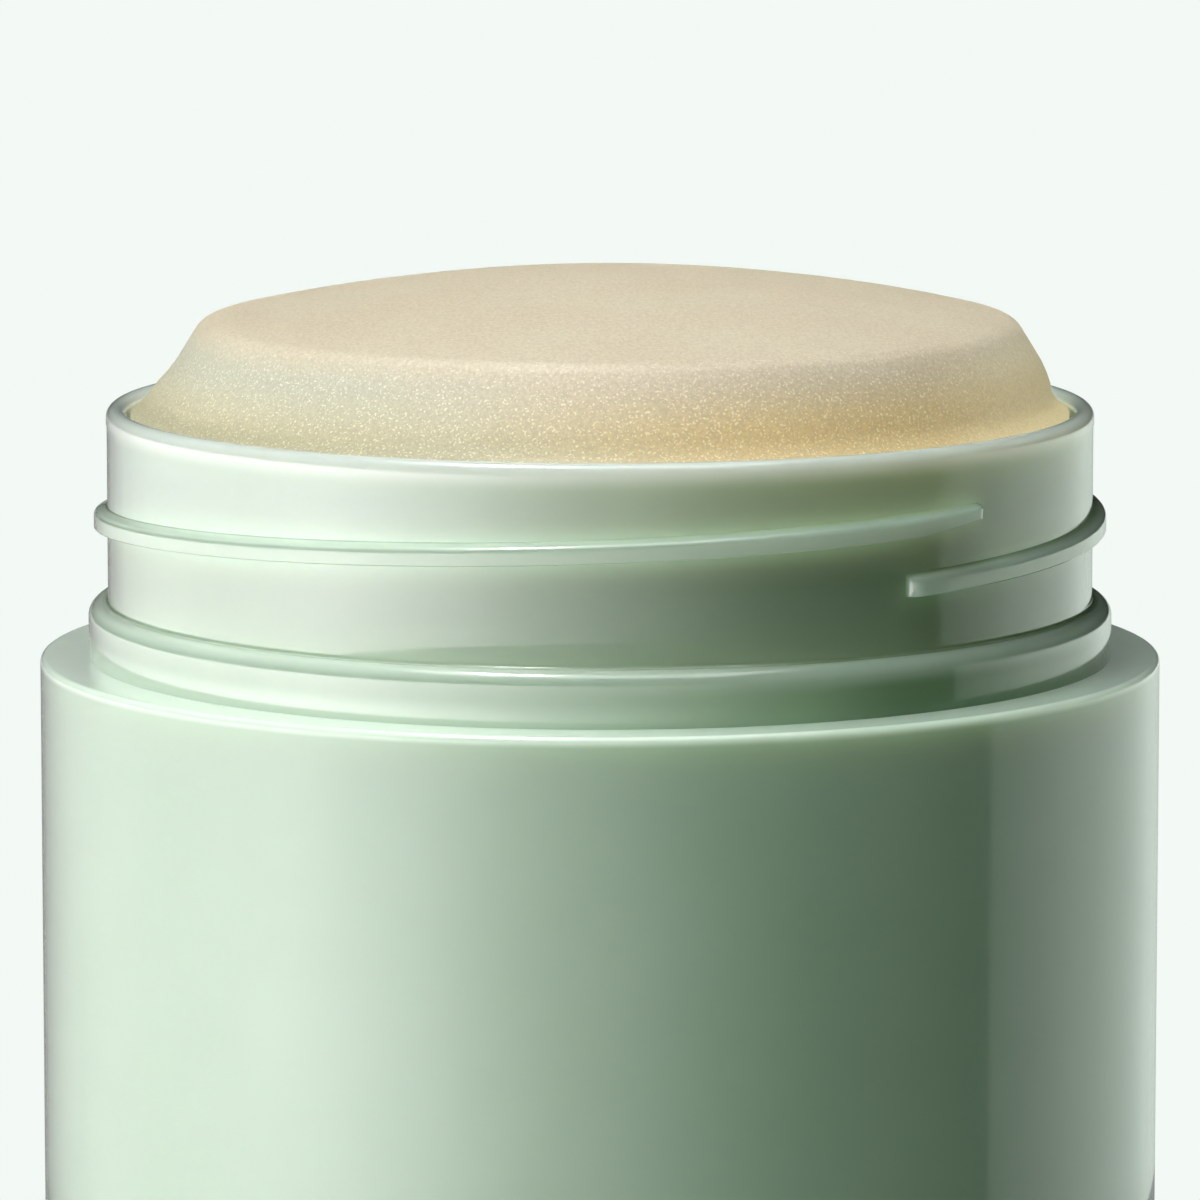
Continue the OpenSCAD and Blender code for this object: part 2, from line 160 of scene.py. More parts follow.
class Finish(Bench):
    # a material's node tree with what the finishes here share
    def __init__(self, name):
        self.material = bpy.data.materials.new(name)
        self.material.use_nodes = True
        self.material.node_tree.nodes.clear()
        super().__init__(self.material.node_tree)
        self.place = self.add("ShaderNodeTexCoord", pick="Object")

    def noise(self, size, detail, roughness=0.5):
        return self.add("ShaderNodeTexNoise", None, {
            "Vector": self.place, "Scale": 1 / size, "Detail": detail, "Roughness": roughness})

    def mix(self, share, first, second):
        node = self.add("ShaderNodeMix", {"data_type": "RGBA"}).socket.node
        for socket, value in zip([node.inputs[0], node.inputs[6], node.inputs[7]],
                                 [share, first, second]):
            self.feed(socket, value)
        return Wire(self, node.outputs[2])

    def bump(self, height, depth, normal=None):
        sockets = {"Height": height, "Strength": 1.0, "Distance": depth}
        if normal:
            sockets["Normal"] = normal
        return self.add("ShaderNodeBump", None, sockets)

    def surface(self, sockets):
        shader = self.add("ShaderNodeBsdfPrincipled", {"subsurface_method": "BURLEY"}, sockets)
        self.add("ShaderNodeOutputMaterial", None, {"Surface": shader})
        return self.material


sagePlastic = {
    "colour": linearLight(163, 201, 165),
    "deepColour": linearLight(159, 198, 161),
    "tintSize": 9 * mm,
    "tintDetail": 3,
    "tintSpan": (0.3, 0.7),
    "roughness": 0.16,
    "roughnessSpread": 0.06,
    "smearSize": 5 * mm,
    "smearDetail": 4,
    "smearRoughness": 0.6,
    "smearSpan": (0.35, 0.75),
    "coatRoughness": 0.025,
    "peelSize": 1.3 * mm,
    "peelDetail": 1,
    "peelDepth": 0.0010 * mm,
    "scatter": (2.4, 2.0, 1.5),
    "scatterDepth": 1 * mm,
    # pairs in which the first value is for -X and the second for +X: painted light and shade,
    # lighter towards -X and darker towards +X
    "paintedShadeSpan": (-14 * mm, 14 * mm),
    "neckLitAndShadedColours": ((0.47, 0.64, 0.47, 1.0), (0.24, 0.38, 0.22, 1.0)),
    "lipLitAndShadedColours": ((0.49, 0.67, 0.52, 1.0), (0.43, 0.60, 0.37, 1.0)),
    "paintedGlows": ((0.47, 0.48, 0.47, 1.0), (0.19, 0.21, 0.19, 1.0)),
    # pairs in which the first value is for the sleeve and the second for the barrel: painted light
    # along the edge, a lighter colour and a share of the glow
    "edgePaintedLightColours": (linearLight(194, 222, 197), linearLight(178, 204, 181)),
    "edgeGlowShares": (1.0, 0.08),
    "edgeHeights": ((67.5 * mm, 67.98 * mm), (69.2 * mm, 70.3 * mm)),
    # colours and shares of painted light and shade, and the places between which each of them sets
    # in
    "edgeRadius": (22.0 * mm, 22.35 * mm),
    "neckHeights": (73.6 * mm, 75.6 * mm),
    "beadLitColour": (0.385, 0.53, 0.385, 1.0),
    "beadFarShadeColour": (0.15, 0.26, 0.14, 1.0),
    "beadFarSpan": (8 * mm, 14 * mm),
    "beadHeights": (72.4 * mm, 71.0 * mm),
    "rimPaintedLightColour": linearLight(208, 222, 210),
    "rimHeights": (77.9 * mm, 79.0 * mm),
    "rimGlowShare": 0.36,
    "topInner": (22.0 * mm, 22.12 * mm),
    "topOuter": (22.575 * mm, 22.50 * mm),
    "shoulderHeights": (69.8 * mm, 70.35 * mm),
    "footHeights": (69.2 * mm, 68.2 * mm),
    "topGlowShare": 0.55,
}


def makeSagePlastic(name, thinWall):
    s = sagePlastic
    f = Finish(name)
    tint = f.ease(f.noise(s["tintSize"], s["tintDetail"]), *s["tintSpan"])
    smear = f.noise(s["smearSize"], s["smearDetail"], s["smearRoughness"])
    smear = f.ease(smear, *s["smearSpan"])
    peel = f.noise(s["peelSize"], s["peelDetail"])
    colour = f.mix(tint, s["colour"], s["deepColour"])
    x, y, z = f.parts(f.place)
    # painted light and shade across the part: 0 towards -X, 1 towards +X
    shadeSide = f.ease(x, *s["paintedShadeSpan"])
    # painted light along the ledge, the bead's shoulder and the rim: a lighter colour and a glow
    # stand in for light that gathers in the plastic
    radius = (x * x + y * y).root()
    out = f.ease(radius, *s["edgeRadius"])
    edge = f.ease(z, *s["edgeHeights"][thinWall]) * out
    paintedGlow = edge * s["edgeGlowShares"][thinWall]
    if thinWall:
        # painted light: the neck is lighter near the rim, where the wax shines through the thin
        # wall, and lighter towards -X and darker towards +X
        neck = f.mix(f.ease(z, *s["neckHeights"]), f.mix(shadeSide, *s["neckLitAndShadedColours"]),
                     f.mix(shadeSide, *s["lipLitAndShadedColours"]))
        # painted light on the bead towards -X, and painted shade at its far +X end
        ring = f.ease(z, *s["beadHeights"]) * out
        bead = ring * (1 - shadeSide)
        colour = f.mix(bead, neck, s["beadLitColour"])
        colour = f.mix(ring * f.ease(x, *s["beadFarSpan"]), colour, s["beadFarShadeColour"])
        # painted light on the rim: a lighter colour and a share of the glow
        rim = f.ease(z, *s["rimHeights"])
        colour = f.mix(rim, colour, s["rimPaintedLightColour"])
        paintedGlow = paintedGlow.most(rim * s["rimGlowShare"])
        # painted glow on the tops of the ribs too, between two radii, and on the bead's top and
        # foot, towards -X
        top = f.ease(radius, *s["topInner"]) * f.ease(radius, *s["topOuter"]) * (1 - shadeSide)
        ends = f.ease(z, *s["shoulderHeights"]).most(f.ease(z, *s["footHeights"])) * bead
        paintedGlow = paintedGlow.most(top.most(ends) * s["topGlowShare"])
    return f.surface({
        # painted light: a lighter colour along the edge
        "Base Color": f.mix(edge, colour, s["edgePaintedLightColours"][thinWall]),
        # painted glow: an emission where light is painted in, stronger towards -X than towards +X
        "Emission Color": f.mix(paintedGlow, noLight, f.mix(shadeSide, *s["paintedGlows"])),
        "Emission Strength": 1.0,
        "Roughness": s["roughness"] + smear * s["roughnessSpread"],
        "IOR": 1.49,
        "Coat Weight": 1.0,
        "Coat Roughness": s["coatRoughness"],
        "Coat IOR": 1.49,
        "Subsurface Weight": 1.0,
        "Subsurface Radius": s["scatter"],
        "Subsurface Scale": s["scatterDepth"],
        "Normal": f.bump(peel, s["peelDepth"]),
    })


naturalPlastic = {
    "colour": linearLight(237, 238, 230),
    "deepColour": linearLight(230, 231, 220),
    "tintSize": 4 * mm,
    "tintDetail": 3,
    "tintSpan": (0.3, 0.7),
    "roughness": 0.42,
    "roughnessSpread": 0.10,
    "grainSize": 0.22 * mm,
    "grainDetail": 2,
    "grainDepth": 0.004 * mm,
    "scatter": (1.5, 1.4, 1.2),
    "scatterDepth": 1 * mm,
}


def makeNaturalPlastic(name):
    s = naturalPlastic
    f = Finish(name)
    tint = f.ease(f.noise(s["tintSize"], s["tintDetail"]), *s["tintSpan"])
    grain = f.noise(s["grainSize"], s["grainDetail"])
    return f.surface({
        "Base Color": f.mix(tint, s["colour"], s["deepColour"]),
        "Roughness": s["roughness"] + grain * s["roughnessSpread"],
        "Subsurface Weight": 0.8,
        "Subsurface Radius": s["scatter"],
        "Subsurface Scale": s["scatterDepth"],
        "Normal": f.bump(grain, s["grainDepth"]),
    })


castWax = {
    "colour": linearLight(238, 227, 199),
    "warmColour": linearLight(237, 224, 195),
    "tintSize": 5 * mm,
    "tintDetail": 3,
    "tintSpan": (0.35, 0.65),
    "shownHeights": (77.5 * mm, 79.4 * mm),
    "flankHeights": (83.4 * mm, 81.4 * mm),
    "leftPaintedTint": (0.69, 0.71, 0.55, 1.0),
    "leftSpan": (2 * mm, -13 * mm),
    "amberPaintedLightColour": (0.86, 0.68, 0.355, 1.0),
    "amberPaintedGlow": (0.05, 0.03, 0.0, 1.0),
    "amberHeights": (82.6 * mm, 80.0 * mm),
    "amberSpan": (-8 * mm, 8 * mm),
    "farPaintedGlow": (0.15, 0.14, 0.09, 1.0),
    "farSpan": (13 * mm, 19 * mm),
    "wallColour": linearLight(220, 214, 176),
    "wallRadius": (18.4 * mm, 20.4 * mm),
    "glintSize": 0.10 * mm,
    "glintDetail": 0,
    "glintSpan": (0.60, 0.78),
    "paintedGlintGlow": (0.27, 0.27, 0.24, 1.0),
    "glintOnTop": 0.25,
    "grainColour": (0.46, 0.40, 0.25, 1.0),
    "grainSpan": (0.42, 0.60),
    "grainShade": 0.22,
    "grainSize": 0.17 * mm,
    "grainDepth": 0.030 * mm,
    "pitSize": 0.55 * mm,
    "pitDepth": 0.030 * mm,
    "surfaceDetail": 3,
    "surfaceRoughness": 0.6,
    "roughness": 0.40,
    "roughnessSpread": 0.16,
    "scatter": (3.0, 2.8, 2.4),
    "scatterDepth": 1 * mm,
}


def makeCastWax(name):
    s = castWax
    f = Finish(name)
    x, y, z = f.parts(f.place)
    radius = (x * x + y * y).root()
    tint = f.ease(f.noise(s["tintSize"], s["tintDetail"]), *s["tintSpan"])
    grain = f.noise(s["grainSize"], s["surfaceDetail"], s["surfaceRoughness"])
    pits = f.noise(s["pitSize"], s["surfaceDetail"], s["surfaceRoughness"])
    body = f.mix(tint, s["colour"], s["warmColour"])
    # painted light and shade for the light that thick wax carries: amber towards +X where it comes
    # out, greener towards -X where it goes in, and plain on the wall that the barrel hides
    shown = f.ease(z, *s["shownHeights"])
    flank = f.ease(z, *s["flankHeights"]) * shown
    left = flank * f.ease(x, *s["leftSpan"])
    amber = f.ease(z, *s["amberHeights"]) * f.ease(x, *s["amberSpan"]) * shown
    far = flank * f.ease(x, *s["farSpan"])
    # a duller, darker tone near the wall above the rim: partly painted shade, partly the green wall
    # seen through thin wax
    wall = f.ease(radius, *s["wallRadius"]) * shown
    body = f.mix(wall, f.mix(left, body, s["leftPaintedTint"]), s["wallColour"])
    body = f.mix(amber, body, s["amberPaintedLightColour"])
    # painted glow: an emission on the amber foot and on the far +X flank
    glow = f.mix(far, f.mix(amber, noLight, s["amberPaintedGlow"]), s["farPaintedGlow"])
    # painted glints: specks of emission stand in for highlights on the grain, fewer on the top than
    # on the flank
    paintedGlint = f.ease(f.noise(s["glintSize"], s["glintDetail"]), *s["glintSpan"])
    paintedGlint = paintedGlint * (flank * (1 - s["glintOnTop"]) + s["glintOnTop"])
    shade = f.ease(grain, *s["grainSpan"]) * s["grainShade"]
    return f.surface({
        "Emission Color": f.mix(paintedGlint, glow, s["paintedGlintGlow"]),
        "Emission Strength": 1.0,
        "Base Color": f.mix(shade, body, s["grainColour"]),
        "Roughness": s["roughness"] + grain * s["roughnessSpread"],
        "IOR": 1.44,
        "Subsurface Weight": 1.0,
        "Subsurface Radius": s["scatter"],
        "Subsurface Scale": s["scatterDepth"],
        "Normal": f.bump(grain, s["grainDepth"], f.bump(pits, s["pitDepth"])),
    })


sleeveSage = makeSagePlastic("sleeveSage", False)
barrelSage = makeSagePlastic("barrelSage", True)
screwWhite = makeNaturalPlastic("screwWhite")
creamWax = makeCastWax("creamWax")
plainNodes = {"base_dial": sleeveSage, "lead_screw": screwWhite, "carrier": screwWhite}
for node, finish in plainNodes.items():
    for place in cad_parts[node].material_slots:
        place.material = finish
print("finishes made")


# geometry trees

trees = {
    "weldDistance": 2e-7,
    "roundingSlack": 0.0001,
    "sectorSteps": 12,
}


class Build(Bench):
    # a geometry tree for one piece, with the steps that the pieces share
    def __init__(self, name, inputs):
        tree = bpy.data.node_groups.new(name, "GeometryNodeTree")
        tree.interface.new_socket("Geometry", in_out="OUTPUT", socket_type="NodeSocketGeometry")
        for label, kind in inputs.items():
            tree.interface.new_socket(label, in_out="INPUT", socket_type="NodeSocket" + kind)
        super().__init__(tree)
        self.gate = tree.nodes.new("NodeGroupInput")

    def given(self, label):
        return Wire(self, self.gate.outputs[label])

    def shapeOf(self, thing):
        return self.add("GeometryNodeObjectInfo", None, {"Object": thing}, pick="Geometry")

    def pointOf(self, shape, index):
        where = self.add("GeometryNodeInputPosition")
        return self.add("GeometryNodeSampleIndex", {"data_type": "FLOAT_VECTOR"}, {
            "Geometry": shape, "Value": where, "Index": index})

    def countOf(self, shape):
        return self.add("GeometryNodeAttributeDomainSize", None, {"Geometry": shape},
                        pick="Point Count")

    def lattice(self, across, along):
        # a grid to be bent, with the column and the row of each of its points
        grid = self.add("GeometryNodeMeshGrid", None, {"Vertices X": across, "Vertices Y": along})
        index = self.add("GeometryNodeInputIndex")
        return grid, (index / along + trees["roundingSlack"]).floor(), index % along

    def moved(self, shape, position):
        return self.add("GeometryNodeSetPosition", None, {"Geometry": shape, "Position": position})

    def welded(self, shape):
        return self.add("GeometryNodeMergeByDistance", None, {
            "Geometry": shape, "Distance": trees["weldDistance"]})

    def turned(self, outline, segments):
        # an outline of radius and height, carried once round the axis
        shape = self.shapeOf(outline)
        grid, column, row = self.lattice(segments + 1, self.countOf(shape))
        radius, _, height = self.parts(self.pointOf(shape, row))
        angle = column / segments * math.tau
        return self.welded(self.moved(grid, self.vector(
            radius * angle.cos(), radius * angle.sin(), height)))

    def ringOf(self, shape, count, start):
        # copies of a shape round the axis
        points = self.add("GeometryNodeMeshLine", None, {"Count": count, "Offset": (0, 0, 0)})
        turn = self.add("GeometryNodeInputIndex") / count * math.tau + start
        copies = self.add("GeometryNodeInstanceOnPoints", None, {
            "Points": points, "Instance": shape, "Rotation": self.vector(0, 0, turn)})
        return self.add("GeometryNodeRealizeInstances", None, {"Geometry": copies})

    def joined(self, shape, others):
        return self.add("GeometryNodeMeshBoolean", {"operation": "UNION", "solver": "EXACT"},
                        {"Mesh 2": [shape] + others})

    def cut(self, shape, cutters):
        return self.add("GeometryNodeMeshBoolean", {"operation": "DIFFERENCE", "solver": "EXACT"},
                        {"Mesh 1": shape, "Mesh 2": cutters})

    def close(self, shape, material, crease):
        # smooth over gentle edges, sharp over the others
        smooth = self.add("GeometryNodeSetShadeSmooth", {"domain": "FACE"}, {"Geometry": shape})
        angle = self.add("GeometryNodeInputMeshEdgeAngle")
        steep = self.add("FunctionNodeCompare", {"operation": "GREATER_THAN"},
                         {"A": angle, "B": math.radians(crease)})
        sharp = self.add("GeometryNodeSetShadeSmooth", {"domain": "EDGE"}, {
            "Geometry": smooth, "Selection": steep, "Shade Smooth": False})
        whole = self.add("GeometryNodeRealizeInstances", None, {"Geometry": sharp})
        coated = self.add("GeometryNodeSetMaterial", None, {"Geometry": whole, "Material": material})
        self.add("NodeGroupOutput", None, {"Geometry": coated})


def makeGuide(name, points, faces=(), edges=()):
    # a helper shape in millimetres that a tree reads, removed when the pieces are made
    mesh = bpy.data.meshes.new(name)
    mesh.from_pydata([tuple(v * mm for v in p) for p in points], edges, faces)
    guide = bpy.data.objects.new(name, mesh)
    scene.collection.objects.link(guide)
    guides.append(guide)
    return guide


def makeOutline(name, points):
    # a line through points of radius and height
    return makeGuide(name, [(r, 0, z) for r, z in points],
                     edges=[(i, i + 1) for i in range(len(points) - 1)])


def makeSector(name, r0, r1, z0, z1, width):
    # a block between two radii and two heights, width degrees wide, centred on +X
    steps = trees["sectorSteps"]
    points = []
    for i in range(steps + 1):
        a = math.radians(width * (i / steps - 0.5))
        points += [(r * math.cos(a), r * math.sin(a), z)
                   for r, z in ((r0, z0), (r1, z0), (r1, z1), (r0, z1))]
    faces = [(0, 1, 2, 3), tuple(4 * steps + k for k in (3, 2, 1, 0))]
    for i in range(steps):
        for k in range(4):
            a, b = 4 * i + k, 4 * i + (k + 1) % 4
            faces.append((a, a + 4, b + 4, b))
    return makeGuide(name, points, faces)


def makeWeb(name, r0, r1, z0, z1, thick):
    # a thin block between two radii and two heights, on +X
    half = thick / 2
    points = [(r, y, z) for z in (z0, z1) for r, y in
              ((r0, -half), (r1, -half), (r1, half), (r0, half))]
    faces = [(3, 2, 1, 0), (4, 5, 6, 7)]
    faces += [(k, (k + 1) % 4, 4 + (k + 1) % 4, 4 + k) for k in range(4)]
    return makeGuide(name, points, faces)


def bakeTree(name, build, values, body, slot, *nodes):
    # runs the tree once and keeps what it made as a plain mesh
    piece = bpy.data.objects.new(name, bpy.data.meshes.new(name))
    scene.collection.objects.link(piece)
    modifier = piece.modifiers.new("build", "NODES")
    modifier.node_group = build.tree
    for item in build.tree.interface.items_tree:
        if item.in_out == "INPUT":
            modifier[item.identifier] = values[item.name]
    graph = bpy.context.evaluated_depsgraph_get()
    made = bpy.data.meshes.new_from_object(piece.evaluated_get(graph))
    piece.modifiers.remove(modifier)
    piece.data = made
    made.name = name
    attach(piece, body)
    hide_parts(*nodes)
    print(name, "made,", len(made.polygons), "faces")


def arc(x, y, radius, start, end, steps):
    # points along a part of a circle, with its directions in degrees
    angles = [math.radians(start + (end - start) * i / steps) for i in range(steps + 1)]
    return [(x + radius * math.cos(a), y + radius * math.sin(a)) for a in angles]


def closed(points):
    return points + points[:1]


guides = []

# heights and radii that several pieces meet at, in millimetres
container = {
    "bodyRadius": 25.0,
    "neckRadius": 21.97,
    "boreRadius": 21.10,
    "ledgeHeight": 68.0,
    "rimHeight": 79.15,
    "sleeveFoot": 13.4,
    "sleeveBore": 23.4,
    "barrelFoot": 15.9,
    "flangeTop": 18.4,
    "snapHeight": 17.15,
    "snapOut": 0.25,
    "ribWidth": 1.2,
    "overlap": 0.3,
    "guideTurn": 45,
    "segments": 360,
    "crease": 30,
}

sleeve = {
    "edgeRadius": 0.25,
    "edgeSteps": 10,
    "ledgeThickness": 1.6,
    "neckGap": 0.06,
    "chamfer": 0.2,
    "snapHalf": 0.65,
    "spacers": 8,
    "spacerGap": 0.833,
}


def makeSleeve():
    c, s = container, sleeve
    under = c["ledgeHeight"] - s["ledgeThickness"]
    hole = c["neckRadius"] + s["neckGap"]
    edge, chamfer, bore = s["edgeRadius"], s["chamfer"], c["sleeveBore"]
    outline = makeOutline("sleeveOutline", closed(
        [(c["bodyRadius"] - chamfer, c["sleeveFoot"]),
         (c["bodyRadius"], c["sleeveFoot"] + chamfer)]
        + arc(c["bodyRadius"] - edge, c["ledgeHeight"] - edge, edge, 0, 90, s["edgeSteps"])
        + [(hole, c["ledgeHeight"]), (hole, under),
           (bore - chamfer, under), (bore, under - chamfer),
           (bore, c["snapHeight"] + s["snapHalf"]), (bore + c["snapOut"], c["snapHeight"]),
           (bore, c["snapHeight"] - s["snapHalf"]), (bore, c["sleeveFoot"])]))
    web = makeWeb("spacerWeb", hole, bore + c["overlap"], c["flangeTop"] - s["spacerGap"],
                  under + c["overlap"], c["ribWidth"])
    b = Build("sleeveTree", {"Outline": "Object", "Segments": "Int", "Spacer": "Object",
                             "Spacers": "Int", "Material": "Material"})
    shell = b.turned(b.given("Outline"), b.given("Segments"))
    webs = b.ringOf(b.shapeOf(b.given("Spacer")), b.given("Spacers"), 0.0)
    b.close(b.joined(shell, [webs]), b.given("Material"), c["crease"])
    bakeTree("sleeveShell", b, {
        "Outline": outline, "Segments": c["segments"], "Spacer": web,
        "Spacers": s["spacers"], "Material": sleeveSage}, "container", "sleeve_plastic",
        "outer_sleeve")


barrel = {
    "lipBand": 0.75,
    "lipStep": 0.03,
    "lipSteps": 24,
    "beadRadius": 22.84,
    "beadTop": 70.45,
    "beadRound": 0.65,
    "beadSteps": 14,
    "neckFillet": 0.16,
    "filletSteps": 6,
    "flangeRadius": 23.35,
    "flangeChamfer": 0.3,
    "snapHalf": 0.6,
    "floorThickness": 1.6,
    "bearingRadius": 3.56,
    "guides": 4,
    "guideReach": 0.9,
    "guideRoot": 0.4,
    "guideFoot": 0.8,
    "guideTop": 73.15,
    "slotGap": 0.06,
    "slotPlay": 0.1,
    "windows": 6,
    "windowInner": 7.5,
    "windowOuter": 19.6,
    "windowArc": 37.0,
}

capThread = {
    "starts": 2,
    "lead": 5.1,
    "arc": 191.2,
    "endAzimuth": 47.6,
    "drop": 4.17,
    "out": 0.6,
    "width": 1.02,
    "face": 0.56,
    "corner": 0.28,
    "cornerArc": 66,
    "cornerSteps": 8,
    "lowerCorner": 0.05,
    "draft": 0.03,
    "buried": 0.45,
    "taper": 0.36,
    "taperArc": 10.0,
    "noseLeast": 0.004,
    "rows": 220,
}


def coilRib(b, outline, rows, endHeight, size):
    # one rib of the cap thread: it rises anticlockwise, its lower edge thins out at the
    # upper end, and both noses are rounded in plan. Each end is drawn together in the wall.
    shape = b.shapeOf(outline)
    count = b.countOf(shape)
    grid, column, row = b.lattice(rows, count)
    share = ((column - 1) / (rows - 3)).most(0.0).least(1.0)
    eased = 0.5 - (share * math.pi).cos() * 0.5
    fromEnd = eased.least(1 - eased) * size["arc"]
    noseArc = math.degrees(size["out"] / container["neckRadius"])
    nose = (1 - (1 - fromEnd / noseArc).most(0.0) ** 2).most(size["noseLeast"]).root()
    back = (1 - eased) * size["arc"]
    lift = (1 - back / size["taperArc"]).most(0.0) * (size["taper"] * size["width"] * mm)
    out, _, up = b.parts(b.pointOf(shape, row))
    out = out.most(0.0) * nose + out.least(0.0)
    up = lift + up * (1 - lift / (size["width"] * mm))
    inner = column.least(rows - 1 - column).least(1.0)     # 0 on the first and last column
    out = out * inner - (1 - inner) * (size["buried"] * mm)
    up = up * inner + (1 - inner) * (lift + 0.5 * size["width"] * mm)
    angle = math.radians(size["endAzimuth"] - 90) - back * (math.pi / 180)
    radius = out + container["neckRadius"] * mm
    height = up + endHeight - back * (size["lead"] * mm / 360)
    return b.welded(b.moved(grid, b.vector(radius * angle.cos(), radius * angle.sin(), height)))


def makeBarrel():
    c, s, t = container, barrel, capThread
    rim, neck, bore = c["rimHeight"], c["neckRadius"], c["boreRadius"]
    lip = (neck - bore + s["lipStep"]) / 2
    fillet, shoulder = s["neckFillet"], s["beadRound"]
    flange, chamfer = s["flangeRadius"], s["flangeChamfer"]
    floorTop = c["barrelFoot"] + s["floorThickness"]
    under = c["barrelFoot"] - c["overlap"]
    outline = makeOutline("barrelOutline", closed(
        arc(bore + lip, rim - lip, lip, 180, 0, s["lipSteps"])
        + [(neck + s["lipStep"], rim - s["lipBand"]), (neck, rim - s["lipBand"])]
        + arc(neck + fillet, s["beadTop"] + fillet, fillet, 180, 270, s["filletSteps"])
        + arc(s["beadRadius"] - shoulder, s["beadTop"] - shoulder, shoulder, 90, 0, s["beadSteps"])
        + [(s["beadRadius"], c["ledgeHeight"]), (neck, c["ledgeHeight"]), (neck, c["flangeTop"]),
           (flange - chamfer, c["flangeTop"]), (flange, c["flangeTop"] - chamfer),
           (flange, c["snapHeight"] + s["snapHalf"]), (flange + c["snapOut"], c["snapHeight"]),
           (flange, c["snapHeight"] - s["snapHalf"]), (flange, c["barrelFoot"]),
           (s["bearingRadius"], c["barrelFoot"]), (s["bearingRadius"], floorTop),
           (bore, floorTop)]))
    w, out, bury = t["width"], t["out"], t["buried"]
    faceTop = w * t["face"]
    ribOutline = makeOutline("ribOutline", closed(
        [(-bury, t["draft"]), (out - t["lowerCorner"], 0), (out, t["lowerCorner"])]
        + arc(out - t["corner"], faceTop, t["corner"], 0, t["cornerArc"], t["cornerSteps"])
        + [(-bury, 2 * faceTop)]))
    guideWeb = makeWeb("guideWeb", bore - s["guideReach"], bore + s["guideRoot"],
                       c["barrelFoot"] + s["guideFoot"], s["guideTop"], c["ribWidth"])
    window = makeSector("floorWindow", s["windowInner"], s["windowOuter"],
                        under, floorTop + c["overlap"], s["windowArc"])
    slotWeb = makeWeb("spacerSlot", neck + s["slotGap"], c["bodyRadius"], under,
                      c["flangeTop"] + c["overlap"], c["ribWidth"] + s["slotPlay"])
    b = Build("barrelTree", {
        "Outline": "Object", "Segments": "Int", "Rib outline": "Object", "Rib rows": "Int",
        "Rib starts": "Int", "Rib end height": "Float", "Guide": "Object", "Guides": "Int",
        "Window": "Object", "Windows": "Int", "Slot": "Object", "Slots": "Int",
        "Material": "Material"})
    tube = b.turned(b.given("Outline"), b.given("Segments"))
    rib = coilRib(b, b.given("Rib outline"), b.given("Rib rows"), b.given("Rib end height"), t)
    ribs = b.ringOf(rib, b.given("Rib starts"), 0.0)
    turn = math.radians(c["guideTurn"])
    guideRibs = b.ringOf(b.shapeOf(b.given("Guide")), b.given("Guides"), turn)
    windows = b.ringOf(b.shapeOf(b.given("Window")), b.given("Windows"), turn)
    slots = b.ringOf(b.shapeOf(b.given("Slot")), b.given("Slots"), 0.0)
    whole = b.cut(b.joined(tube, [ribs, guideRibs]), [windows, slots])
    b.close(whole, b.given("Material"), c["crease"])
    endHeight = rim - t["drop"] + t["lead"] * t["endAzimuth"] / 360
    bakeTree("barrelTube", b, {
        "Outline": outline, "Segments": c["segments"], "Rib outline": ribOutline,
        "Rib rows": t["rows"], "Rib starts": t["starts"], "Rib end height": endHeight * mm,
        "Guide": guideWeb, "Guides": s["guides"], "Window": window, "Windows": s["windows"],
        "Slot": slotWeb, "Slots": sleeve["spacers"], "Material": barrelSage},
        "container", "barrel_plastic", "inner_barrel")


wax = {
    "apex": 85.02,
    "domeRise": 2.10,
    "domeRadius": 18.15,
    "domeSteps": 24,
    "domeRound": 1.1,
    "roundSteps": 12,
    "flareRadius": 19.9,
    "flareHeight": 80.10,
    "flankSteps": 5,
    "edgeRadius": 20.90,
    "edgeHeight": 78.85,
    "bendShares": (0.31, 0.66),
    "bendSteps": 10,
    "rimTop": 23.0,
    "plateTop": 21.0,
    "plateRadius": 19.95,
    "hubRadius": 6.5,
    "hubTop": 27.4,
    "boreRadius": 4.35,
    "boreTop": 76.0,
    "boreChamfer": 1,
    "grooveEnd": 0.25,
    "groovePlay": 0.5,
    "fins": 4,
    "finReach": 17.0,
    "finTop": 26.0,
    "windowInner": 9.5,
    "windowArc": 52.0,
    "windowDepth": 1.6,
    "lean": 0.385,
    "leanFrom": 79.2,
    "leanOver": 2,
    "pourSize": 11.0,
    "pourDepth": 0.10,
    "pourLevel": 0.6,
    "segments": 300,
    "crease": 40,
}


